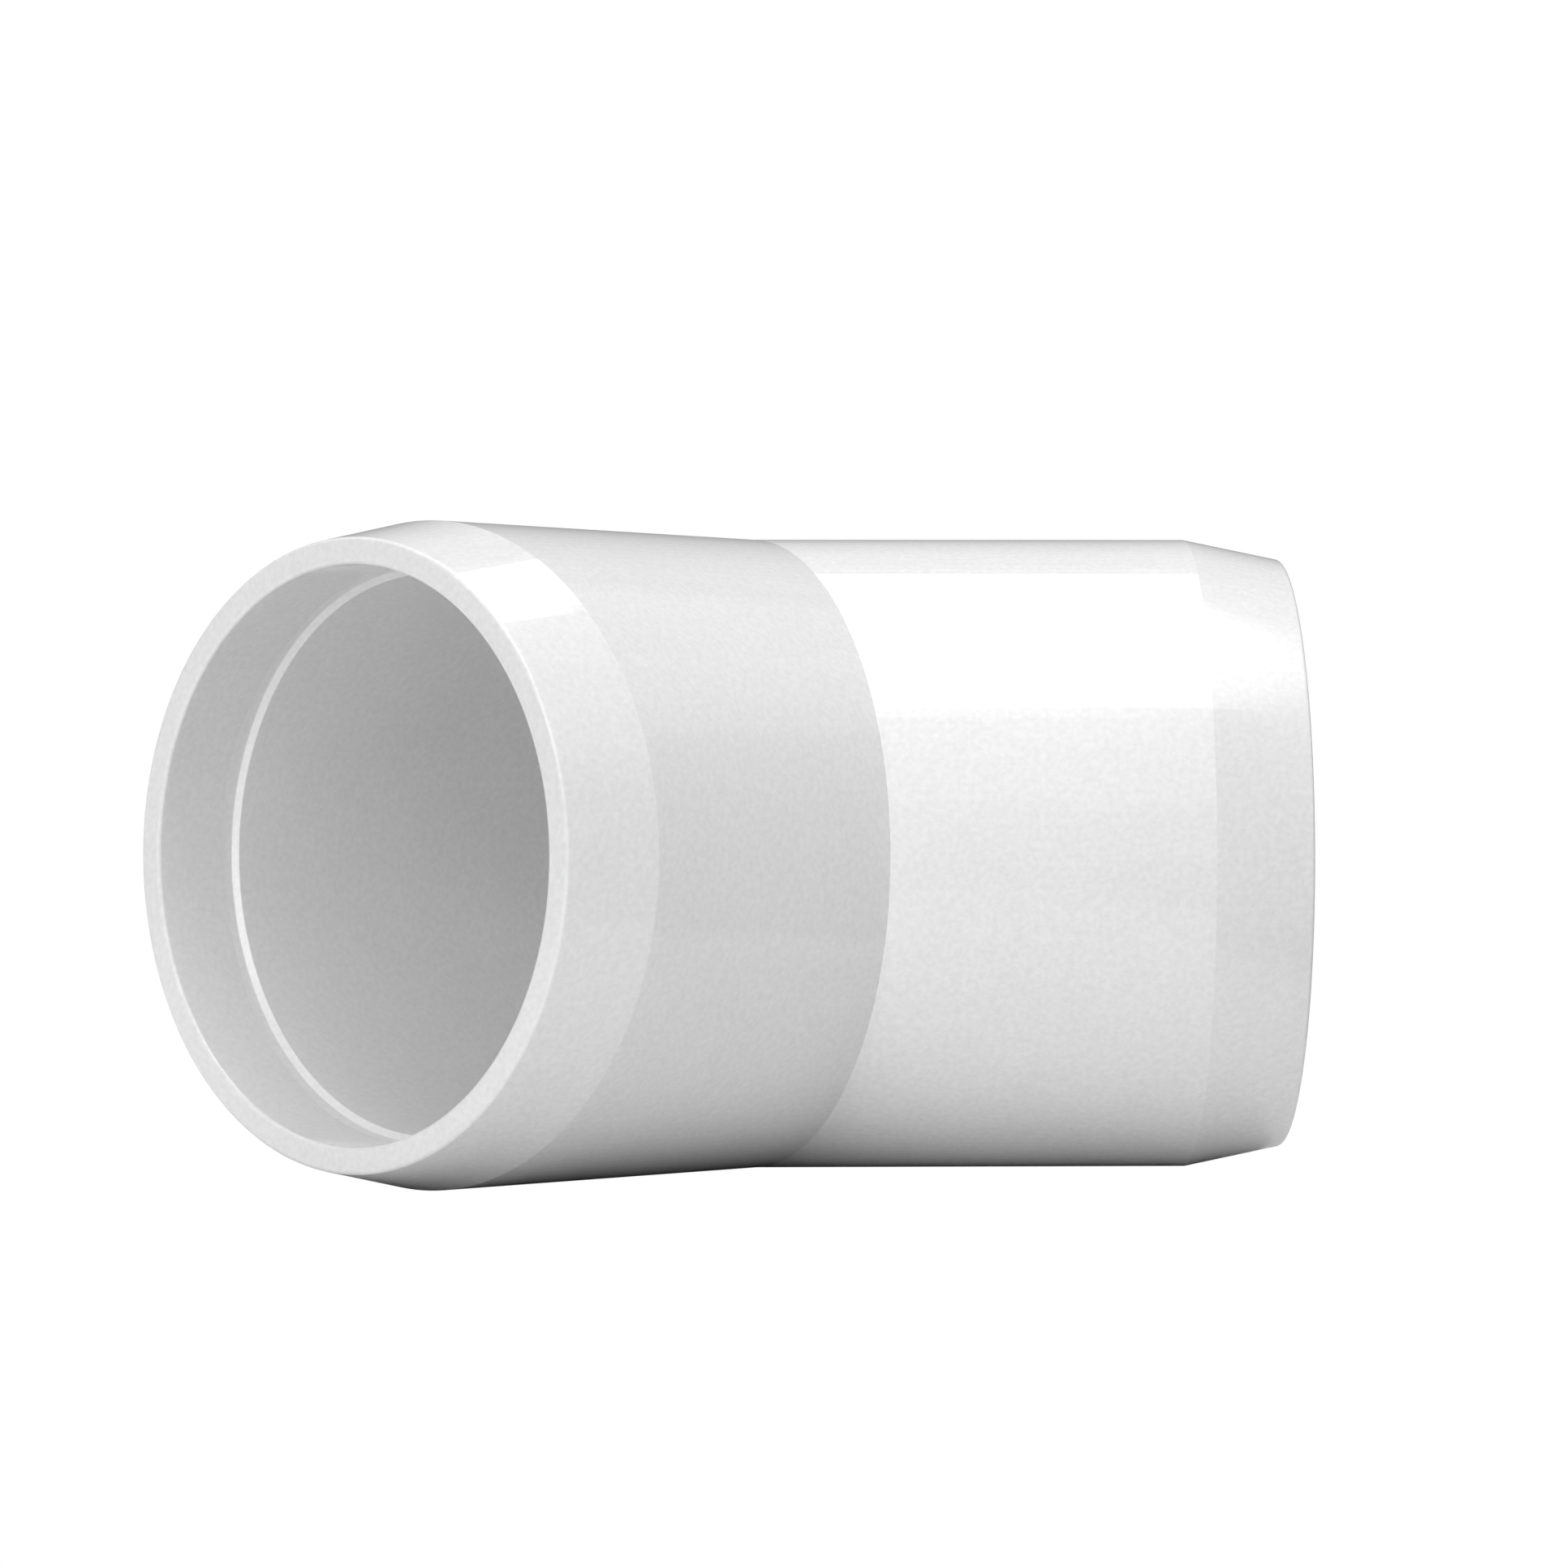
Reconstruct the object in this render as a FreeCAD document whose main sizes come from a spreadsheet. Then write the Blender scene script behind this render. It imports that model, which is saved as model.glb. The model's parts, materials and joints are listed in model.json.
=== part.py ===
import FreeCAD, Part
import math
import os
import Sketcher

# A 45 degree pipe elbow in moulded PVC, with a slip socket at each end.
#
# The body is a single moulding: two equal round arms that meet at a mitre. Each arm is a
# straight socket for a pipe. Near its mouth the outside tapers in, and the bore opens into a
# slightly wider relief that guides the pipe in. Behind the socket the bore runs on through the
# bend with a little draft, so that the moulding's core can be drawn.
#
# Frame, in millimetres: the origin is the centre of the straight arm's mouth, and +X points out
# of it. The angled arm points to -X and -Y. +Z is square to the centrelines of both arms.
# The body is drawn about the crossing of the two centrelines, and then moved along X.

# Driving sizes: alias, value, what it is.
SIZES = [
    ("bend", 45.0, "change of direction of the pipe run, degrees"),
    ("face_distance", 43.0, "crossing of the centrelines to the face of each mouth"),
    ("pipe_diameter", 42.16, "outside diameter of the 1-1/4 in. pipe that fits the socket"),
    ("socket_gap", 0.12, "radial gap between the pipe and the socket"),
    ("wall", 4.1, "thickness of the socket wall"),
    ("taper_length", 7.7, "length of the outside taper, and of the relief inside it"),
    ("taper_drop", 1.6, "how far the taper comes in, measured on the radius"),
    ("relief_step", 0.5, "how much the entry relief widens the bore, on the radius"),
    ("ledge_slope", 0.35, "axial length of the slope between the bore and the relief"),
    ("seat_land", 1.2, "from the end of the straight socket to the inside corner of the mitre"),
    ("passage_draft", 0.5, "draft of the bore through the bend, degrees"),
    ("rim_round", 0.3, "radius of the rounded edges of the rim"),
]

OVERRUN = 5.0  # extra length behind the mitre plane, which the mitre cut takes away
EDGE_TOLERANCE = 1e-4
VOLUME_TOLERANCE = 0.002


def make_sheet(doc):
    """Write the driving sizes into a spreadsheet, one alias per row."""
    sheet = doc.addObject("Spreadsheet::Sheet", "Sizes")
    for row, (alias, value, meaning) in enumerate(SIZES, start=1):
        sheet.set(f"A{row}", meaning)
        sheet.set(f"B{row}", str(value))
        sheet.setAlias(f"B{row}", alias)
    doc.recompute()
    return sheet


def origin_plane(body, role):
    """Return the body's own origin plane with this role, such as XY_Plane."""
    for feature in body.Origin.OriginFeatures:
        if feature.Role == role:
            return feature
    raise LookupError(role)


def add_lines(sketch, points):
    """Draw a closed outline through the points, corner joined to corner."""
    vectors = [FreeCAD.Vector(x, y, 0) for x, y in points]
    count = len(vectors)
    for index in range(count):
        sketch.addGeometry(Part.LineSegment(vectors[index], vectors[(index + 1) % count]), False)
    for index in range(count):
        following = (index + 1) % count
        sketch.addConstraint(Sketcher.Constraint("Coincident", index, 2, following, 1))


def add_size(sketch, kind, first, second, name, formula):
    """Dimension two points of a sketch and bind the dimension to the sheet.

    first and second are (geometry, point) pairs. kind is DistanceX or DistanceY.
    """
    value = measure(sketch, kind, first, second)
    index = sketch.addConstraint(Sketcher.Constraint(kind, *first, *second, value))
    sketch.renameConstraint(index, name)
    sketch.setExpression(f"Constraints.{name}", formula)


def measure(sketch, kind, first, second):
    """Return the present distance between two points of a sketch along one axis."""
    gap = sketch.getPoint(*second) - sketch.getPoint(*first)
    return gap.x if kind == "DistanceX" else gap.y


class ArmSizes:
    """Sizes that follow from the sheet, as numbers. All distances are from the crossing."""

    def __init__(self, sheet):
        half_bend = math.radians(sheet.bend / 2)
        self.socket_radius = sheet.pipe_diameter / 2 + sheet.socket_gap
        self.relief_radius = self.socket_radius + sheet.relief_step
        self.body_radius = self.socket_radius + sheet.wall
        self.rim_radius = self.body_radius - sheet.taper_drop
        self.ledge = sheet.face_distance - sheet.taper_length
        self.corner = self.socket_radius * math.tan(half_bend)
        self.seat = self.corner + sheet.seat_land
        self.back = self.body_radius * math.tan(half_bend) + OVERRUN
        self.draft_slope = math.tan(math.radians(sheet.passage_draft))


def draw_arm_profile(body, sheet):
    """Draw half of the arm's lengthwise section, to be turned about the X axis."""
    sketch = body.newObject("Sketcher::SketchObject", "ArmProfile")
    sketch.AttachmentSupport = [(origin_plane(body, "XY_Plane"), "")]
    sketch.MapMode = "FlatFace"

    arm = ArmSizes(sheet)
    add_lines(sketch, [
        (-arm.back, arm.socket_radius - (arm.back + arm.seat) * arm.draft_slope),
        (arm.seat, arm.socket_radius),
        (arm.ledge, arm.socket_radius),
        (arm.ledge + sheet.ledge_slope, arm.relief_radius),
        (sheet.face_distance, arm.relief_radius),
        (sheet.face_distance, arm.rim_radius),
        (arm.ledge, arm.body_radius),
        (-arm.back, arm.body_radius),
    ])
    passage, socket, slope, relief, rim, taper, outside, end = range(8)
    for line in (socket, relief, outside):
        sketch.addConstraint(Sketcher.Constraint("Horizontal", line))
    for line in (rim, end):
        sketch.addConstraint(Sketcher.Constraint("Vertical", line))
    # The relief ends inside the wall exactly where the taper starts outside it.
    sketch.addConstraint(Sketcher.Constraint("Vertical", slope, 1, outside, 1))
    draft = Sketcher.Constraint("Angle", passage, math.radians(sheet.passage_draft))
    sketch.renameConstraint(sketch.addConstraint(draft), "passage_draft")
    sketch.setExpression("Constraints.passage_draft", "Sizes.passage_draft")

    root = (-1, 1)
    inner = "(Sizes.pipe_diameter / 2 + Sizes.socket_gap)"
    outer = f"({inner} + Sizes.wall)"
    seat = f"{inner} * tan(Sizes.bend / 2) + Sizes.seat_land"
    back = f"{outer} * tan(Sizes.bend / 2) + {OVERRUN}"
    add_size(sketch, "DistanceY", root, (socket, 1), "socket_radius", inner)
    add_size(sketch, "DistanceY", root, (relief, 1), "relief_radius", f"{inner} + Sizes.relief_step")
    add_size(sketch, "DistanceY", root, (outside, 1), "body_radius", outer)
    add_size(sketch, "DistanceY", root, (taper, 1), "rim_radius", f"{outer} - Sizes.taper_drop")
    add_size(sketch, "DistanceX", root, (rim, 1), "face_distance", "Sizes.face_distance")
    add_size(sketch, "DistanceX", root, (slope, 1), "ledge", "Sizes.face_distance - Sizes.taper_length")
    add_size(sketch, "DistanceX", (slope, 1), (slope, 2), "ledge_slope", "Sizes.ledge_slope")
    add_size(sketch, "DistanceX", root, (socket, 1), "seat", seat)
    add_size(sketch, "DistanceX", (passage, 1), root, "back", back)
    return sketch


def turn_arm(body, sketch):
    """Turn the section into a whole hollow arm that runs past the mitre plane."""
    turned = body.newObject("PartDesign::Revolution", "TurnedArm")
    turned.Profile = sketch
    turned.ReferenceAxis = (sketch, ["H_Axis"])
    turned.Angle = 360
    sketch.Visibility = False
    return turned


def make_mitre_plane(body):
    """Add the plane that halves the bend. Its normal points into the arm along +X."""
    plane = body.newObject("PartDesign::Plane", "MitrePlane")
    plane.AttachmentSupport = [(origin_plane(body, "YZ_Plane"), "")]
    plane.MapMode = "FlatFace"
    local_up = FreeCAD.Vector(0, 1, 0)
    plane.AttachmentOffset = FreeCAD.Placement(FreeCAD.Vector(), FreeCAD.Rotation(local_up, 1))
    plane.setExpression("AttachmentOffset.Rotation.Angle", "Sizes.bend / 2")
    return plane


def cut_mitre(body, sheet, plane):
    """Cut away everything behind the mitre plane."""
    sketch = body.newObject("Sketcher::SketchObject", "MitreCutOutline")
    sketch.AttachmentSupport = [(plane, "")]
    sketch.MapMode = "FlatFace"
    reach = sheet.face_distance + sheet.pipe_diameter
    sketch.addGeometry(Part.Circle(FreeCAD.Vector(), FreeCAD.Vector(0, 0, 1), reach), False)
    sketch.addConstraint(Sketcher.Constraint("Coincident", 0, 3, -1, 1))
    radius = sketch.addConstraint(Sketcher.Constraint("Radius", 0, reach))
    sketch.renameConstraint(radius, "reach")
    sketch.setExpression("Constraints.reach", "Sizes.face_distance + Sizes.pipe_diameter")

    cut = body.newObject("PartDesign::Pocket", "MitreCut")
    cut.Profile = sketch
    cut.Type = "ThroughAll"
    cut.Reversed = False
    sketch.Visibility = False
    return cut


def circular_edges(shape, distance, radius):
    """Name the round edges of this radius that lie in the plane X = distance."""
    names = []
    for index, edge in enumerate(shape.Edges, start=1):
        curve = edge.Curve
        if not isinstance(curve, Part.Circle):
            continue
        same_radius = abs(curve.Radius - radius) < EDGE_TOLERANCE
        same_plane = abs(curve.Center.x - distance) < EDGE_TOLERANCE
        if same_radius and same_plane:
            names.append(f"Edge{index}")
    return names


def round_rim(body, sheet, base):
    """Round the inner and the outer edge of the rim."""
    arm = ArmSizes(sheet)
    edges = circular_edges(base.Shape, sheet.face_distance, arm.relief_radius)
    edges += circular_edges(base.Shape, sheet.face_distance, arm.rim_radius)
    if len(edges) != 2:
        raise RuntimeError(f"the rim has {len(edges)} edges to round, not 2")
    rounded = body.newObject("PartDesign::Fillet", "RimRounding")
    rounded.Base = (base, edges)
    rounded.setExpression("Radius", "Sizes.rim_round")
    return rounded


def mirror_arm(body, plane):
    """Mirror the finished arm about the mitre plane, which makes the second arm."""
    mirrored = body.newObject("PartDesign::Mirrored", "SecondArm")
    mirrored.TransformMode = "Whole shape"
    mirrored.MirrorPlane = (plane, [""])
    body.Tip = mirrored
    return mirrored


def make_elbow(doc, sheet):
    """Build the moulded elbow, the only piece of the fitting."""
    body = doc.addObject("PartDesign::Body", "ElbowBody")
    body.Label = "elbow_body"
    sketch = draw_arm_profile(body, sheet)
    turned = turn_arm(body, sketch)
    plane = make_mitre_plane(body)
    cut = cut_mitre(body, sheet, plane)
    doc.recompute()
    if not cut.Shape.Volume < turned.Shape.Volume:
        raise RuntimeError("the mitre cut took nothing away")
    round_rim(body, sheet, cut)
    doc.recompute()
    mirror_arm(body, plane)
    # Move the body so that the centre of the straight arm's mouth comes to the origin.
    body.setExpression("Placement.Base.x", "-Sizes.face_distance")
    doc.recompute()
    return body


def cone_ring_volume(length, narrow, wide):
    """Volume between a cone and the cylinder that its wide end touches."""
    cone = math.pi * length * (narrow ** 2 + narrow * wide + wide ** 2) / 3
    return math.pi * length * wide ** 2 - cone


def expected_volume(sheet):
    """Volume of the elbow by hand, leaving out the small rounded edges of the rim.

    The mitre plane passes through the crossing of the centrelines, so each arm holds as much
    as a square-cut tube of the same centreline length. The draft leaves a thin wedge of
    material in the passage, whose length round the bore runs from seat - corner to
    seat + corner.
    """
    arm = ArmSizes(sheet)
    tube = math.pi * (arm.body_radius ** 2 - arm.socket_radius ** 2) * sheet.face_distance
    taper = cone_ring_volume(sheet.taper_length, arm.rim_radius, arm.body_radius)
    relief = math.pi * (arm.relief_radius ** 2 - arm.socket_radius ** 2) * sheet.taper_length
    slope = cone_ring_volume(sheet.ledge_slope, arm.socket_radius, arm.relief_radius)
    mean_square_length = arm.seat ** 2 + arm.corner ** 2 / 2
    draft = math.pi * arm.socket_radius * arm.draft_slope * mean_square_length
    return 2 * (tube - taper - relief + slope + draft)


def check(doc, sheet, bodies):
    """Stop if any object failed, or a sub-part's shape is not one sound solid."""
    for thing in doc.Objects:
        if "Invalid" in thing.State or "Error" in thing.State:
            raise RuntimeError(f"{thing.Name} failed: {thing.State}")
    for body in bodies:
        shape = body.Shape
        if shape.isNull() or not shape.isValid():
            raise RuntimeError(f"{body.Label} has no valid shape")
        if len(shape.Solids) != 1:
            raise RuntimeError(f"{body.Label} is {len(shape.Solids)} solids, not 1")
    volume = bodies[0].Shape.Volume
    expected = expected_volume(sheet)
    if abs(volume - expected) > VOLUME_TOLERANCE * expected:
        raise RuntimeError(f"the elbow holds {volume:.0f} mm3, expected {expected:.0f}")


def export(bodies):
    """Write each sub-part to its own STEP file, named by its label."""
    os.makedirs("parts", exist_ok=True)
    for body in bodies:
        body.Shape.exportStep(f"parts/{body.Label}.step")
        box = body.Shape.BoundBox
        print(f"{body.Label}: {body.Shape.Volume:.0f} mm3, "
              f"X {box.XMin:.2f} {box.XMax:.2f}, Y {box.YMin:.2f} {box.YMax:.2f}, "
              f"Z {box.ZMin:.2f} {box.ZMax:.2f}")


def main():
    """Build the document, check it and write its parts."""
    doc = FreeCAD.newDocument("PipeElbow")
    sheet = make_sheet(doc)
    bodies = [make_elbow(doc, sheet)]
    doc.recompute()
    check(doc, sheet, bodies)
    export(bodies)


main()
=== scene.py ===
"""Looks for a 45 degree pipe elbow: one white, glossy, injection-moulded PVC fitting.

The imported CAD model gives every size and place. One piece, elbow_moulding, stands for the CAD
node. It is made by a Geometry Nodes tree that turns the section of one arm about its axis,
slants the foot of the arm to the mitre, and mirrors the arm in the mitre plane.

All lengths are in metres in the frame of the CAD model: the origin is the centre of the straight
arm's mouth, +X points out of it, and +Z is square to the centrelines of both arms.
"""

import json
import logging
import math
from dataclasses import dataclass, field
from enum import Enum
from typing import Any, Sequence

import bmesh
import bpy
from mathutils import Matrix, Vector


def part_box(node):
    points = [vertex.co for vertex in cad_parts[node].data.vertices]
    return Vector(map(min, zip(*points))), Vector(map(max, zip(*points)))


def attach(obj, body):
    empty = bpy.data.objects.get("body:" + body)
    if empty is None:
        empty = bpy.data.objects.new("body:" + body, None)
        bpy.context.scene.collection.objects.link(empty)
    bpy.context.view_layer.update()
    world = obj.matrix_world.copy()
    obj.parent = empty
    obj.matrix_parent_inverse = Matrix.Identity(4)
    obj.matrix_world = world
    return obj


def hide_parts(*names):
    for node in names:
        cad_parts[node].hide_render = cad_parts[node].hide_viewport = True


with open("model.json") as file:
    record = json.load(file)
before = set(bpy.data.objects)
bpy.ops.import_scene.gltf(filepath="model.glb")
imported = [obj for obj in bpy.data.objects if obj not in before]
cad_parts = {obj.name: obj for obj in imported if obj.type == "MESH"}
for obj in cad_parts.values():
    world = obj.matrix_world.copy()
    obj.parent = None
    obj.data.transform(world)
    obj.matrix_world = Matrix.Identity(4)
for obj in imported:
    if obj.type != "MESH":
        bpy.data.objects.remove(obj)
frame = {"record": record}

LOG = logging.getLogger("elbow")

CAD_NODE = "elbow_body"
CAD_BODY = "root"
MM = 0.001


class MouldSide(Enum):
    """Which half of the mould forms a stretch of wall, as the value stored on the mesh."""

    CAVITY = 0.0
    CORE = 1.0


CORE_ATTRIBUTE = "core_side"


def linear(hex_colour: str) -> tuple[float, float, float, float]:
    """Turn an sRGB colour into linear RGBA.

    Args:
        hex_colour: Six hex digits, such as "f4f4f2".

    Returns:
        The linear red, green and blue, and an alpha of 1.
    """
    channels = []
    for start in (0, 2, 4):
        value = int(hex_colour[start:start + 2], 16) / 255
        channels.append(value / 12.92 if value <= 0.04045 else ((value + 0.055) / 1.055) ** 2.4)
    return (channels[0], channels[1], channels[2], 1.0)


def add_node(
    tree: bpy.types.NodeTree,
    kind: str,
    settings: dict[str, Any] | None = None,
    inputs: dict[int | str, Any] | None = None,
) -> bpy.types.Node:
    """Add a node, set it up and connect it.

    Args:
        tree: The tree that gets the node.
        kind: The node's type, such as "ShaderNodeMath".
        settings: The node's own properties by name.
        inputs: What goes into each input, by the input's name or index. An output socket is
            linked, and anything else is written as the input's value.

    Returns:
        The new node.
    """
    node = tree.nodes.new(kind)
    for name, value in (settings or {}).items():
        setattr(node, name, value)
    for key, value in (inputs or {}).items():
        if isinstance(value, bpy.types.NodeSocket):
            tree.links.new(value, node.inputs[key])
        else:
            node.inputs[key].default_value = value
    return node


@dataclass(frozen=True)
class MouldedPvc:
    """Glossy white PVC as it leaves a polished mould.

    The eye sees a clean, slightly soft white with crisp reflections outside. The core that forms
    the bore is less polished, so the inside shines less. A very fine grain breaks both up.
    """

    name: str = "injection_moulded_white_pvc"
    colour_low: str = "e9e9e9"
    colour_high: str = "f8f8f8"
    ior: float = 1.53
    cavity_roughness: float = 0.09
    core_roughness: float = 0.30
    roughness_spread: float = 0.03
    cloud_size: float = 14 * MM  # flow marks, where the melt filled the mould unevenly
    grain_size: float = 0.45 * MM  # real grain is finer; drawn as coarse as shows from here
    grain_depth: float = 0.003 * MM
    grain_share: float = 0.6  # of the colour's variation; the clouds make the rest
    grain_range: tuple[float, float] = (0.3, 0.7)  # noise values that give the two colours

    def build(self) -> bpy.types.Material:
        """Build the material.

        Returns:
            The finished material.
        """
        material = bpy.data.materials.new(self.name)
        material.use_nodes = True
        tree = material.node_tree
        tree.nodes.clear()

        place = add_node(tree, "ShaderNodeTexCoord").outputs["Object"]
        clouds = add_node(
            tree, "ShaderNodeTexNoise", {"noise_dimensions": "3D"},
            {"Vector": place, "Scale": 1 / self.cloud_size, "Detail": 3.0, "Roughness": 0.5},
        ).outputs["Fac"]
        grain = add_node(
            tree, "ShaderNodeTexNoise", {"noise_dimensions": "3D"},
            {"Vector": place, "Scale": 1 / self.grain_size, "Detail": 2.0, "Roughness": 0.6},
        ).outputs["Fac"]

        speckle = add_node(
            tree, "ShaderNodeMapRange", {},
            {"Value": grain, "From Min": self.grain_range[0], "From Max": self.grain_range[1]},
        ).outputs["Result"]
        shade = add_node(
            tree, "ShaderNodeMix", {"data_type": "FLOAT"},
            {"Factor": self.grain_share, 2: clouds, 3: speckle},
        ).outputs[0]
        colour = add_node(
            tree, "ShaderNodeMix", {"data_type": "RGBA"},
            {"Factor": shade, 6: linear(self.colour_low), 7: linear(self.colour_high)},
        ).outputs[2]
        core = add_node(
            tree, "ShaderNodeAttribute", {"attribute_name": CORE_ATTRIBUTE},
        ).outputs["Fac"]
        polish = add_node(
            tree, "ShaderNodeMapRange", {},
            {"Value": core, "To Min": self.cavity_roughness, "To Max": self.core_roughness},
        ).outputs["Result"]
        uneven = add_node(
            tree, "ShaderNodeMapRange", {},
            {"Value": clouds, "To Min": -self.roughness_spread, "To Max": self.roughness_spread},
        ).outputs["Result"]
        roughness = add_node(
            tree, "ShaderNodeMath", {"operation": "ADD", "use_clamp": True},
            {0: polish, 1: uneven},
        ).outputs["Value"]
        bump = add_node(
            tree, "ShaderNodeBump", {},
            {"Height": grain, "Distance": self.grain_depth, "Strength": 1.0},
        ).outputs["Normal"]
        shader = add_node(
            tree, "ShaderNodeBsdfPrincipled", {},
            {"Base Color": colour, "Roughness": roughness, "Normal": bump, "IOR": self.ior},
        )
        add_node(tree, "ShaderNodeOutputMaterial", {}, {"Surface": shader.outputs["BSDF"]})
        return material


@dataclass(frozen=True)
class Station:
    """One point of an arm's lengthwise section.

    Attributes:
        along: Distance from the crossing of the centrelines, along the arm.
        radius: Distance from the arm's axis.
        slant: How much the turned row leans to the mitre, from 0, square, to 1, in its plane.
        side: The half of the mould that forms the wall here.
    """

    along: float
    radius: float
    slant: float
    side: MouldSide


@dataclass
class ElbowMoulding:
    """The one-piece elbow: two equal socket arms that meet at a mitre."""

    body_radius: float
    socket_radius: float
    relief_radius: float
    face_distance: float
    bend: float
    seat: float
    ledge: float
    taper_drop: float = 1.6 * MM
    ledge_slope: float = 0.35 * MM
    passage_draft: float = math.radians(0.5)
    rim_round: float = 0.3 * MM
    taper_round: float = 0.12 * MM
    ledge_round: float = 0.12 * MM
    outer_foot: float = 14 * MM
    margin: float = 0.08 * MM
    weld_distance: float = 0.001 * MM
    segments: int = 192
    steps_per_round: int = 5
    rows_per_foot: int = 6

    @classmethod
    def from_frame(cls, record: dict[str, Any]) -> "ElbowMoulding":
        """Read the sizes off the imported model.

        Args:
            record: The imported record, with the mounts of both sockets.

        Returns:
            The moulding with the CAD model's own sizes.
        """
        mounts = {mount["name"]: mount for mount in record["mounts"]}
        mouth = mounts["rim_angled"]
        face_distance = mouth["pos_m"][1] / mouth["axis"][1]
        seat = mounts["socket_straight"]["pos_m"][0] + face_distance
        socket_length = mounts["socket_straight"]["dims"]["length_mm"] * MM
        return cls(
            body_radius=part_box(CAD_NODE)[1].z,
            socket_radius=mounts["socket_straight"]["dims"]["r_mm"] * MM,
            relief_radius=mounts["entry_straight"]["dims"]["r_mm"] * MM,
            face_distance=face_distance,
            bend=math.pi - math.acos(mouth["axis"][0]),
            seat=seat,
            ledge=seat + socket_length,
        )

    @property
    def crossing(self) -> Vector:
        """Where the two centrelines cross."""
        return Vector((-self.face_distance, 0.0, 0.0))

    @property
    def mitre_normal(self) -> Vector:
        """The normal of the mitre plane, pointing into the straight arm."""
        return Vector((math.cos(self.bend / 2), math.sin(self.bend / 2), 0.0))

    def rounded(self, before: Vector, corner: Vector, after: Vector, radius: float) -> list[Vector]:
        """Round one corner of the section with an arc.

        Args:
            before: The corner before this one.
            corner: The corner to round.
            after: The corner after this one.
            radius: Radius of the arc.

        Returns:
            Points along the arc, with one more point a little before it and one after it, so
            that the long faces next to it keep their own normals.
        """
        inward = (before - corner).normalized()
        outward = (after - corner).normalized()
        half_angle = inward.angle(outward) / 2
        reach = radius / math.tan(half_angle)
        centre = corner + (inward + outward).normalized() * radius / math.sin(half_angle)
        start = corner + inward * reach - centre
        end = corner + outward * reach - centre
        turn = start.angle_signed(end)
        points = [corner + inward * (reach + self.margin)]
        for step in range(self.steps_per_round + 1):
            share = step / self.steps_per_round
            points.append(centre + Matrix.Rotation(-turn * share, 2) @ start)
        points.append(corner + outward * (reach + self.margin))
        return points

    def foot(self, radius: float, end: float, draft: float, side: MouldSide) -> list[Station]:
        """List the rows between the mitre and the first square row of a wall.

        Args:
            radius: The wall's radius at the square row.
            end: Where the square row is, along the arm.
            draft: How fast the wall narrows towards the mitre, as a slope.
            side: The half of the mould that forms the wall.

        Returns:
            The rows from the mitre outwards, without the square row.
        """
        rows = []
        for step in range(self.rows_per_foot):
            share = step / self.rows_per_foot
            narrowing = (1 - share) * end * draft
            rows.append(Station(share * end, radius - narrowing, 1 - share, side))
        return rows

    def section(self) -> list[Station]:
        """List the section's points: along the outside, round the rim and back along the bore."""
        rim_radius = self.body_radius - self.taper_drop
        corners = [
            Vector((self.outer_foot, self.body_radius)),
            Vector((self.ledge, self.body_radius)),
            Vector((self.face_distance, rim_radius)),
            Vector((self.face_distance, self.relief_radius)),
            Vector((self.ledge + self.ledge_slope, self.relief_radius)),
            Vector((self.ledge, self.socket_radius)),
            Vector((self.seat, self.socket_radius)),
        ]
        rounds = [self.taper_round, self.rim_round, self.rim_round, self.ledge_round, self.ledge_round]
        sides = [MouldSide.CAVITY] * 3 + [MouldSide.CORE] * 2
        draft = math.tan(self.passage_draft)
        stations = self.foot(self.body_radius, self.outer_foot, 0.0, MouldSide.CAVITY)
        stations.append(Station(*corners[0], 0.0, MouldSide.CAVITY))
        for index, (radius, side) in enumerate(zip(rounds, sides), start=1):
            arc = self.rounded(corners[index - 1], corners[index], corners[index + 1], radius)
            stations += [Station(*point, 0.0, side) for point in arc]
        stations.append(Station(*corners[-1], 0.0, MouldSide.CORE))
        inner_foot = self.foot(self.socket_radius, self.seat, draft, MouldSide.CORE)
        stations += reversed(inner_foot)
        return stations

    def section_mesh(self) -> bpy.types.Mesh:
        """Store the section as loose points, one per row: (along, radius, slant) and its side."""
        stations = self.section()
        mesh = bpy.data.meshes.new("arm_section")
        points = [(row.along, row.radius, row.slant) for row in stations]
        mesh.from_pydata(points, [], [])
        sides = mesh.attributes.new(CORE_ATTRIBUTE, "FLOAT", "POINT")
        sides.data.foreach_set("value", [row.side.value for row in stations])
        return mesh

    def tree(self) -> tuple[bpy.types.NodeTree, dict[str, str]]:
        """Build the Geometry Nodes tree that turns the section into the whole moulding.

        Returns:
            The tree, and the identifier of each of its inputs by the input's name.
        """
        tree = bpy.data.node_groups.new("mitred_elbow", "GeometryNodeTree")
        interface = tree.interface
        sockets = {"Geometry": "NodeSocketGeometry", "Segments": "NodeSocketInt",
                   "Rows": "NodeSocketInt", "Mitre Slope": "NodeSocketFloat",
                   "Mitre Normal": "NodeSocketVector", "Crossing": "NodeSocketVector",
                   "Weld Distance": "NodeSocketFloat", "Material": "NodeSocketMaterial"}
        identifiers = {}
        for name, kind in sockets.items():
            item = interface.new_socket(name, in_out="INPUT", socket_type=kind)
            identifiers[name] = item.identifier
        interface.new_socket("Geometry", in_out="OUTPUT", socket_type="NodeSocketGeometry")
        given = add_node(tree, "NodeGroupInput").outputs

        def maths(operation: str, first: Any, second: Any = 0.0) -> bpy.types.NodeSocket:
            """Add a Math node and return its result."""
            node = add_node(tree, "ShaderNodeMath", {"operation": operation}, {0: first, 1: second})
            return node.outputs["Value"]

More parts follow.
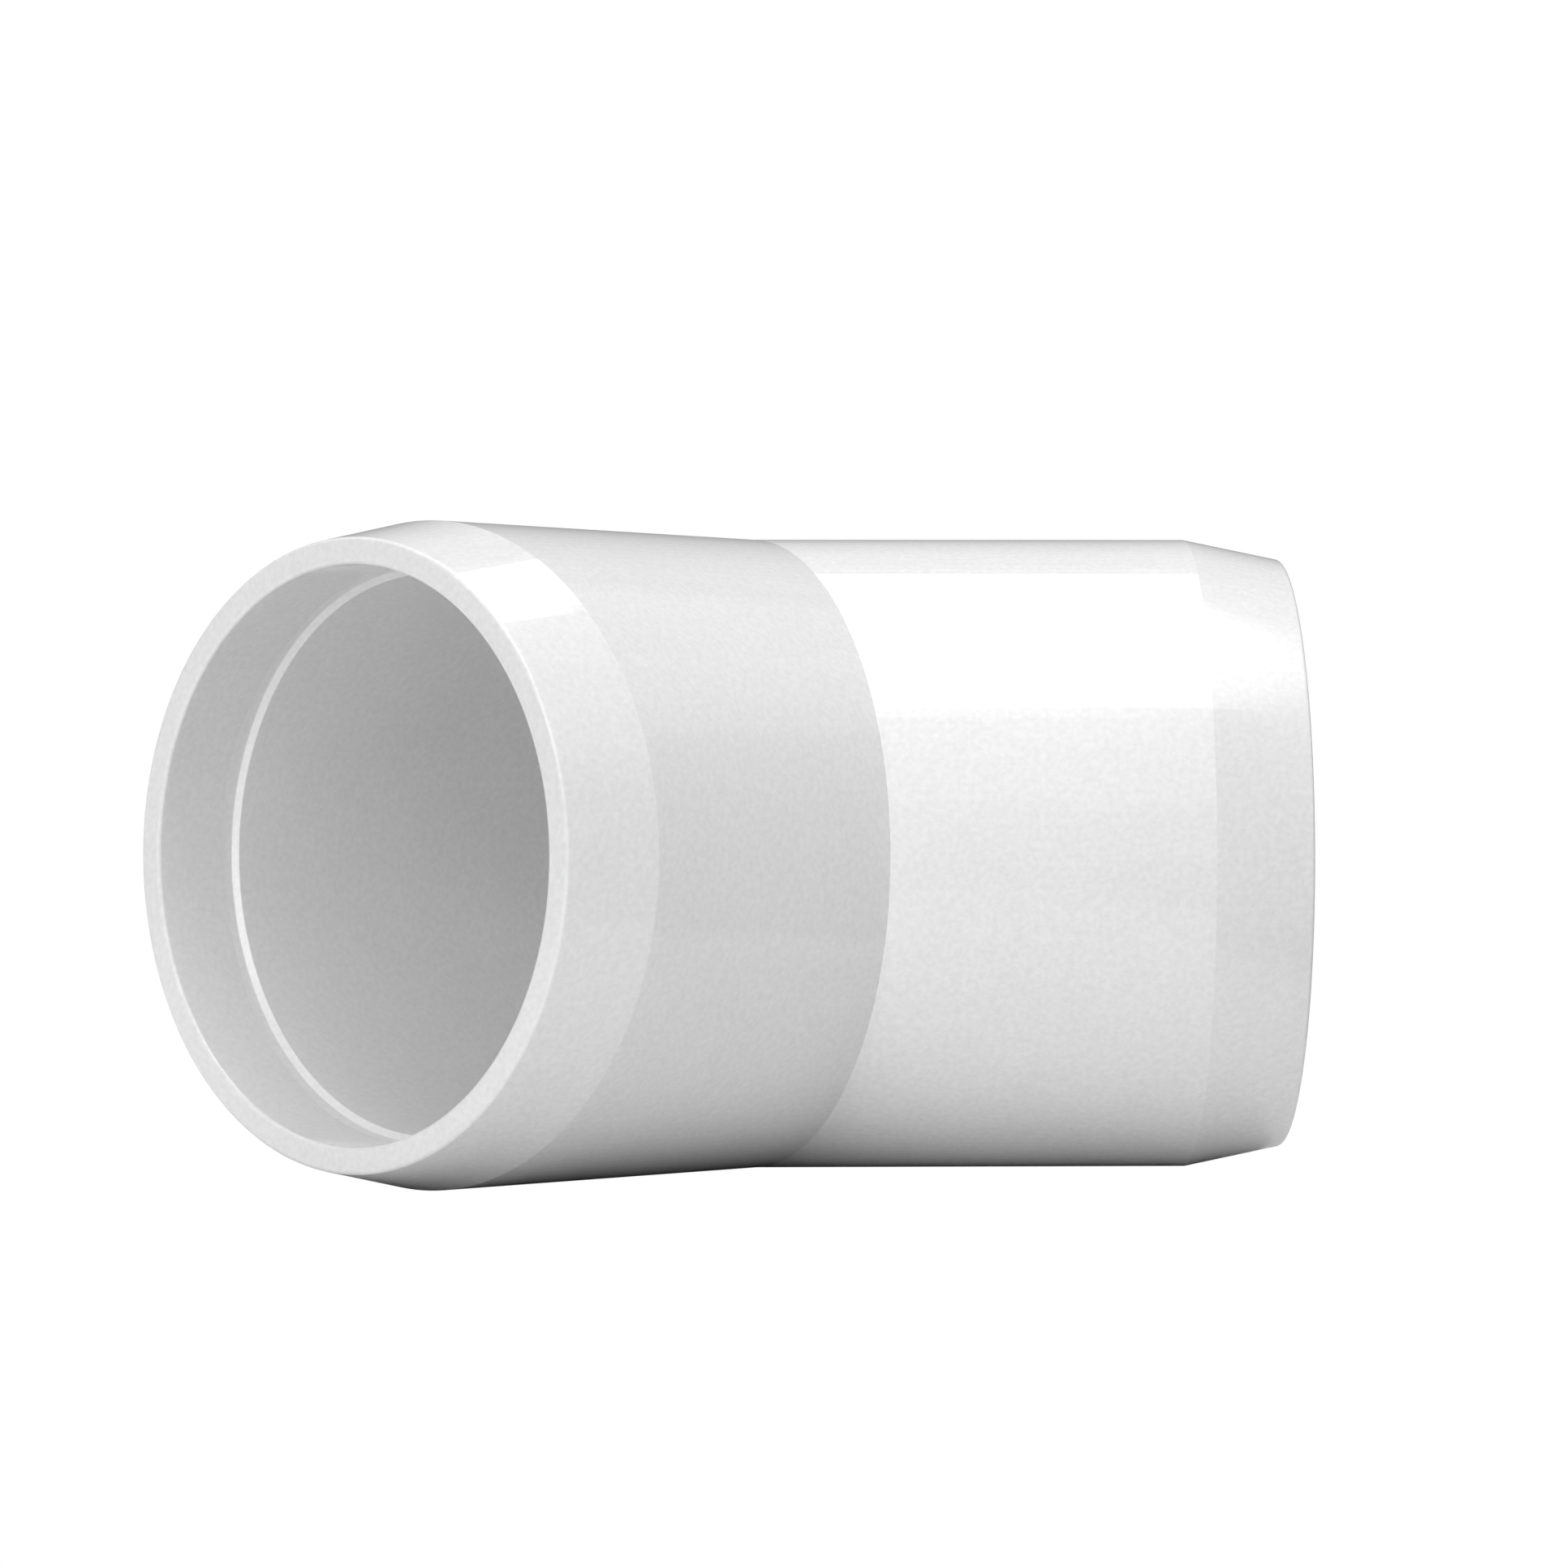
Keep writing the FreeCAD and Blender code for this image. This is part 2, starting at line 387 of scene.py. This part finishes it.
        # A flat grid, one column per step round the arm and one row per point of the section.
        grid = add_node(
            tree, "GeometryNodeMeshGrid", {},
            {"Size X": 1.0, "Size Y": 1.0, "Vertices X": maths("ADD", given["Segments"], 1.0),
             "Vertices Y": given["Rows"]},
        ).outputs["Mesh"]
        position = add_node(tree, "GeometryNodeInputPosition").outputs["Position"]
        flat = add_node(tree, "ShaderNodeSeparateXYZ", {}, {"Vector": position}).outputs
        turn = maths("MULTIPLY", maths("ADD", flat["X"], 0.5), math.tau)
        last_row = maths("SUBTRACT", given["Rows"], 1.0)
        row = maths("ROUND", maths("MULTIPLY", maths("ADD", flat["Y"], 0.5), last_row))

        # Each row takes its place and size from its point of the section.
        station = add_node(
            tree, "GeometryNodeSampleIndex", {"data_type": "FLOAT_VECTOR"},
            {"Geometry": given["Geometry"], "Value": position, "Index": row},
        ).outputs["Value"]
        part = add_node(tree, "ShaderNodeSeparateXYZ", {}, {"Vector": station}).outputs
        across = maths("MULTIPLY", part["Y"], maths("COSINE", turn))
        height = maths("MULTIPLY", part["Y"], maths("SINE", turn))
        lean = maths("MULTIPLY", maths("MULTIPLY", part["Z"], given["Mitre Slope"]), across)
        along = maths("SUBTRACT", part["X"], lean)
        place = add_node(
            tree, "ShaderNodeCombineXYZ", {}, {"X": along, "Y": across, "Z": height},
        ).outputs["Vector"]
        core = add_node(
            tree, "GeometryNodeInputNamedAttribute", {"data_type": "FLOAT"},
            {"Name": CORE_ATTRIBUTE},
        ).outputs["Attribute"]
        side = add_node(
            tree, "GeometryNodeSampleIndex", {"data_type": "FLOAT"},
            {"Geometry": given["Geometry"], "Value": core, "Index": row},
        ).outputs["Value"]
        marked = add_node(
            tree, "GeometryNodeStoreNamedAttribute", {"data_type": "FLOAT", "domain": "POINT"},
            {"Geometry": grid, "Name": CORE_ATTRIBUTE, "Value": side},
        ).outputs["Geometry"]
        straight_arm = add_node(
            tree, "GeometryNodeSetPosition", {}, {"Geometry": marked, "Position": place},
        ).outputs["Geometry"]

        # The other arm is this one mirrored in the mitre plane.
        mirrored = add_node(
            tree, "ShaderNodeVectorMath", {"operation": "REFLECT"},
            {0: position, 1: given["Mitre Normal"]},
        ).outputs["Vector"]
        angled_arm = add_node(
            tree, "GeometryNodeSetPosition", {}, {"Geometry": straight_arm, "Position": mirrored},
        ).outputs["Geometry"]
        turned_out = add_node(tree, "GeometryNodeFlipFaces", {}, {"Mesh": angled_arm}).outputs["Mesh"]
        join = add_node(tree, "GeometryNodeJoinGeometry")
        for arm in (straight_arm, turned_out):
            tree.links.new(arm, join.inputs["Geometry"])
        welded = add_node(
            tree, "GeometryNodeMergeByDistance", {},
            {"Geometry": join.outputs["Geometry"], "Distance": given["Weld Distance"]},
        ).outputs["Geometry"]

        # Only the line where the arms meet stays sharp. Every other edge has a real rounding.
        off_plane = add_node(
            tree, "ShaderNodeVectorMath", {"operation": "DOT_PRODUCT"},
            {0: position, 1: given["Mitre Normal"]},
        ).outputs["Value"]
        clear_of_mitre = add_node(
            tree, "FunctionNodeCompare", {"data_type": "FLOAT", "operation": "GREATER_THAN"},
            {0: maths("ABSOLUTE", off_plane), 1: given["Weld Distance"]},
        ).outputs["Result"]
        smooth = add_node(
            tree, "GeometryNodeSetShadeSmooth", {"domain": "EDGE"},
            {"Geometry": welded, "Shade Smooth": clear_of_mitre},
        ).outputs["Geometry"]
        placed = add_node(
            tree, "GeometryNodeTransform", {},
            {"Geometry": smooth, "Translation": given["Crossing"]},
        ).outputs["Geometry"]
        real = add_node(tree, "GeometryNodeRealizeInstances", {}, {"Geometry": placed}).outputs["Geometry"]
        dressed = add_node(
            tree, "GeometryNodeSetMaterial", {},
            {"Geometry": real, "Material": given["Material"]},
        ).outputs["Geometry"]
        add_node(tree, "NodeGroupOutput", {}, {"Geometry": dressed})
        return tree, identifiers

    def build(self, finish: MouldedPvc) -> bpy.types.Object:
        """Make the moulding as a plain mesh in place of the CAD node.

        Args:
            finish: The finish of the whole moulding.

        Returns:
            The finished piece, riding on the CAD body.
        """
        maker = bpy.data.objects.new("elbow_maker", self.section_mesh())
        bpy.context.scene.collection.objects.link(maker)
        tree, identifiers = self.tree()
        modifier = maker.modifiers.new("mitred_elbow", "NODES")
        modifier.node_group = tree
        material = finish.build()
        values = {
            "Segments": self.segments,
            "Rows": len(maker.data.vertices),
            "Mitre Slope": math.tan(self.bend / 2),
            "Mitre Normal": self.mitre_normal,
            "Crossing": self.crossing,
            "Weld Distance": self.weld_distance,
            "Material": material,
        }
        for name, value in values.items():
            modifier[identifiers[name]] = value
        depsgraph = bpy.context.evaluated_depsgraph_get()
        mesh = bpy.data.meshes.new_from_object(maker.evaluated_get(depsgraph))
        bpy.data.objects.remove(maker)

        mesh.name = "elbow_moulding"
        point_outwards(mesh)
        piece = bpy.data.objects.new("elbow_moulding", mesh)
        bpy.context.scene.collection.objects.link(piece)
        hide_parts(CAD_NODE)
        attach(piece, CAD_BODY)
        return piece


def point_outwards(mesh: bpy.types.Mesh) -> None:
    """Turn a closed mesh's faces outwards, and stop if the mesh isn't closed.

    Args:
        mesh: The mesh to mend.
    """
    shell = bmesh.new()
    shell.from_mesh(mesh)
    open_edges = [edge for edge in shell.edges if len(edge.link_faces) != 2]
    if open_edges:
        raise ValueError(f"{mesh.name} has {len(open_edges)} open edges")
    if shell.calc_volume(signed=True) < 0:
        bmesh.ops.reverse_faces(shell, faces=shell.faces)
        shell.to_mesh(mesh)
    shell.free()


@dataclass
class Stage:
    """A plain white floor that sweeps up into a backdrop all round, seen only by the camera."""

    floor_height: float
    radius: float = 3.0
    sweep: float = 0.8
    wall: float = 3.0
    segments: int = 96
    sweep_steps: int = 12
    colour: str = "ffffff"

    def build(self) -> bpy.types.Object:
        """Make the floor and backdrop.

        Returns:
            The stage object.
        """
        outline = [(0.0, 0.0), (self.radius - self.sweep, 0.0)]
        for step in range(1, self.sweep_steps + 1):
            angle = math.pi / 2 * step / self.sweep_steps
            reach = self.radius - self.sweep + self.sweep * math.sin(angle)
            outline.append((reach, self.sweep * (1 - math.cos(angle))))
        outline += [(self.radius, self.wall), (0.0, self.wall)]

        shell = bmesh.new()
        points = [shell.verts.new((reach, 0.0, self.floor_height + rise)) for reach, rise in outline]
        edges = [shell.edges.new(pair) for pair in zip(points, points[1:])]
        bmesh.ops.spin(
            shell, geom=points + edges, axis=(0, 0, 1), cent=(0, 0, 0),
            steps=self.segments, angle=math.tau,
        )
        bmesh.ops.remove_doubles(shell, verts=shell.verts, dist=1e-5)
        mesh = bpy.data.meshes.new("studio_sweep")
        shell.to_mesh(mesh)
        shell.free()
        mesh.materials.append(self.material())
        stage = bpy.data.objects.new("studio_sweep", mesh)
        bpy.context.scene.collection.objects.link(stage)
        # The elbow neither reflects the sweep nor takes light from it: the cards and panels do.
        stage.visible_diffuse = False
        stage.visible_glossy = False
        stage.visible_transmission = False
        stage.visible_shadow = False
        return stage

    def material(self) -> bpy.types.Material:
        """Build the evenly lit white of the floor and backdrop."""
        material = bpy.data.materials.new("lit_white_paper")
        material.use_nodes = True
        tree = material.node_tree
        tree.nodes.clear()
        glow = add_node(
            tree, "ShaderNodeEmission", {}, {"Color": linear(self.colour), "Strength": 1.0},
        )
        add_node(tree, "ShaderNodeOutputMaterial", {}, {"Surface": glow.outputs["Emission"]})
        return material


@dataclass(frozen=True)
class FloorSheet:
    """A flat card under the elbow, which throws light up at it and takes its shadow.

    The camera sees the white sweep instead, so a card has no edge in the picture. Its shade and
    its edges show only as soft steps in the gloss of the arms.

    Attributes:
        name: The card's name.
        colour: Its colour, as sRGB hex.
        corner: Its right front corner, from the crossing of the centrelines.
        width: Its size to the left of that corner.
        depth: Its size behind that corner.
        turn: Turn about the vertical, in degrees.
        drop: How far it lies below the elbow.
    """

    name: str
    colour: str
    corner: tuple[float, float]
    width: float
    depth: float
    turn: float
    drop: float

    def build(self, crossing: Vector, floor_height: float) -> bpy.types.Object:
        """Make the card.

        Args:
            crossing: Where the two centrelines cross.
            floor_height: The height of the elbow's lowest point.

        Returns:
            The card.
        """
        corner = Vector((crossing.x + self.corner[0], crossing.y + self.corner[1], 0.0))
        turned = Matrix.Rotation(math.radians(self.turn), 4, "Z")
        outline = [(0.0, 0.0), (0.0, self.depth), (-self.width, self.depth), (-self.width, 0.0)]
        height = Vector((0.0, 0.0, floor_height - self.drop))
        points = [corner + height + turned @ Vector((x, y, 0.0)) for x, y in outline]
        mesh = bpy.data.meshes.new(self.name)
        mesh.from_pydata([tuple(point) for point in points], [], [(0, 1, 2, 3)])
        mesh.materials.append(self.material())
        card = bpy.data.objects.new(self.name, mesh)
        bpy.context.scene.collection.objects.link(card)
        card.visible_camera = False
        return card

    def material(self) -> bpy.types.Material:
        """Build the matt card."""
        material = bpy.data.materials.new(self.name)
        material.use_nodes = True
        tree = material.node_tree
        tree.nodes.clear()
        matt = add_node(tree, "ShaderNodeBsdfDiffuse", {}, {"Color": linear(self.colour)})
        add_node(tree, "ShaderNodeOutputMaterial", {}, {"Surface": matt.outputs["BSDF"]})
        return material


FLOOR_SHEETS = (
    # The grey card lies under everything and is darker than the pale card, so the floor seen in the gloss
    # of the arms is dimmer beyond the pale card's edge.
    FloorSheet("dim_floor_card", "949494", (0.9, -0.7), 1.8, 1.4, 0.0, 1.0 * MM),
    FloorSheet("pale_card", "e0e0e0", (-0.077, -0.460), 1.0, 0.95, -17.2, 0.1 * MM),
)


class Facing(Enum):
    """Which way a panel throws its light, as a direction."""

    FROM_FRONT = (0.0, 1.0, 0.0)
    FROM_BACK = (0.0, -1.0, 0.0)
    FROM_LEFT = (1.0, 0.0, 0.0)
    FROM_RIGHT = (-1.0, 0.0, 0.0)
    FROM_ABOVE = (0.0, 0.0, -1.0)


@dataclass(frozen=True)
class Panel:
    """A rectangular soft light, one wall or part of a wall of the light tent.

    Attributes:
        name: The light's name.
        facing: Which way it throws its light.
        low: Its lowest corner, from the crossing of the centrelines.
        high: Its highest corner. One of the three coordinates is the same as in low.
        radiance: How bright it looks. White paper in full light is about 1.
        turn: Turn about the direction that it faces, in degrees.
    """

    name: str
    facing: Facing
    low: tuple[float, float, float]
    high: tuple[float, float, float]
    radiance: float
    turn: float = 0.0

    def build(self, crossing: Vector) -> bpy.types.Object:
        """Make the light.

        Args:
            crossing: Where the two centrelines cross.

        Returns:
            The light object.
        """
        size = Vector(self.high) - Vector(self.low)
        ahead = Vector(self.facing.value)
        upright = Vector((0.0, 0.0, 1.0)) if ahead.z == 0 else Vector((0.0, 1.0, 0.0))
        level = upright.cross(-ahead)
        light = bpy.data.lights.new(self.name, "AREA")
        light.shape = "RECTANGLE"
        light.size = abs(size.dot(level))
        light.size_y = abs(size.dot(upright))
        light.energy = self.radiance * math.pi * light.size * light.size_y
        panel = bpy.data.objects.new(self.name, light)
        turned = Matrix((level, upright, -ahead)).transposed().to_4x4()
        middle = (Vector(self.low) + Vector(self.high)) / 2
        spin = Matrix.Rotation(math.radians(self.turn), 4, "Z")
        panel.matrix_world = Matrix.Translation(crossing + middle) @ turned @ spin
        panel.visible_camera = False
        bpy.context.scene.collection.objects.link(panel)
        return panel


@dataclass
class LightTent:
    """Soft panels round the elbow, in a dark room.

    The key and the overhead softbox do most of the work. The overhead one gives the long bright
    band on the straight arm. The weaker panels fill the shadows.
    """

    panels: list[Panel] = field(default_factory=lambda: [
        Panel("key_softbox", Facing.FROM_FRONT, (-1.3, -1.5, -0.35), (-0.4, -1.5, 1.2), 4.25),
        Panel("overhead_softbox", Facing.FROM_ABOVE, (-0.15, -0.75, 1.0), (0.485, 0.6, 1.0), 3.2, 14.0),
        Panel("front_low", Facing.FROM_FRONT, (-0.4, -1.5, -0.5), (0.9, -1.5, 0.45), 0.55),
        Panel("front_high", Facing.FROM_FRONT, (-0.4, -1.5, 0.45), (0.9, -1.5, 1.98), 1.05),
        Panel("ceiling_left", Facing.FROM_ABOVE, (-1.6, -0.75, 1.01), (-0.05, 0.9, 1.01), 0.5),
        Panel("ceiling_right", Facing.FROM_ABOVE, (0.45, -0.75, 1.0), (1.8, 0.9, 1.0), 0.4),
        Panel("right_low", Facing.FROM_RIGHT, (1.5, -1.5, -0.55), (1.5, 1.5, 0.55), 0.2),
        Panel("right_high", Facing.FROM_RIGHT, (1.5, -1.5, 0.55), (1.5, 1.5, 1.6), 0.25),
        Panel("left_wall", Facing.FROM_LEFT, (-1.6, -1.5, -0.4), (-1.6, 1.5, 1.5), 0.15),
        Panel("back_wall", Facing.FROM_BACK, (-1.5, 1.5, -0.5), (1.5, 1.5, 1.5), 0.2),
    ])

    def build(self, crossing: Vector) -> None:
        """Make the dark room and every panel.

        Args:
            crossing: Where the two centrelines cross.
        """
        world = bpy.data.worlds.new("dark_room")
        world.use_nodes = True
        tree = world.node_tree
        tree.nodes.clear()
        room = add_node(tree, "ShaderNodeBackground", {}, {"Strength": 0.0})
        add_node(tree, "ShaderNodeOutputWorld", {}, {"Surface": room.outputs["Background"]})
        bpy.context.scene.world = world
        for panel in self.panels:
            panel.build(crossing)
            LOG.info("light %s: radiance %.2f", panel.name, panel.radiance)


@dataclass(frozen=True)
class StudioCamera:
    """A long lens almost level with the elbow, square to the straight arm.

    Attributes:
        from_crossing: From the crossing of the centrelines to the lens.
        yaw: Turn to the right of +Y, in radians.
        pitch: Tilt upwards, in radians.
        roll: Turn about the line of sight, in radians.
        lens: Focal length in millimetres.
        sensor: Width of the sensor in millimetres.
        near: Nearest distance that it sees.
        far: Furthest distance that it sees.
    """

    from_crossing: tuple[float, float, float] = (-8.25 * MM, -395.41 * MM, 1.82 * MM)
    yaw: float = 0.02874
    pitch: float = 0.00954
    roll: float = -0.00116
    lens: float = 112.43
    sensor: float = 36.0
    near: float = 0.01
    far: float = 20.0

    def build(self, crossing: Vector) -> bpy.types.Object:
        """Make the camera and look through it.

        Args:
            crossing: Where the two centrelines cross.

        Returns:
            The camera object.
        """
        ahead = Vector((
            math.sin(self.yaw) * math.cos(self.pitch),
            math.cos(self.yaw) * math.cos(self.pitch),
            math.sin(self.pitch),
        ))
        level = Vector((math.cos(self.yaw), -math.sin(self.yaw), 0.0))
        upright = level.cross(ahead)
        right = level * math.cos(self.roll) + upright * math.sin(self.roll)
        up = upright * math.cos(self.roll) - level * math.sin(self.roll)
        turned = Matrix((right, up, -ahead)).transposed().to_4x4()

        lens = bpy.data.cameras.new("studio_camera")
        lens.sensor_fit = "HORIZONTAL"
        lens.sensor_width = self.sensor
        lens.lens = self.lens
        lens.clip_start = self.near
        lens.clip_end = self.far
        camera = bpy.data.objects.new("studio_camera", lens)
        camera.matrix_world = Matrix.Translation(crossing + Vector(self.from_crossing)) @ turned
        bpy.context.scene.collection.objects.link(camera)
        bpy.context.scene.camera = camera
        return camera


def main() -> None:
    """Build the elbow, the stage, the lights and the camera."""
    logging.basicConfig(level=logging.INFO, format="%(name)s: %(message)s")
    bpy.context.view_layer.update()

    moulding = ElbowMoulding.from_frame(frame["record"])
    piece = moulding.build(MouldedPvc())
    LOG.info("%s: %d faces", piece.name, len(piece.data.polygons))

    stage = Stage(floor_height=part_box(CAD_NODE)[0].z).build()
    LOG.info("%s: floor and backdrop", stage.name)
    for sheet in FLOOR_SHEETS:
        card = sheet.build(moulding.crossing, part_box(CAD_NODE)[0].z)
        LOG.info("%s: %s", card.name, sheet.colour)
    LightTent().build(moulding.crossing)
    camera = StudioCamera().build(moulding.crossing)
    LOG.info("%s: %.1f mm lens", camera.name, camera.data.lens)
    bpy.context.scene.view_settings.view_transform = "Standard"


if __name__ == "__main__":
    main()
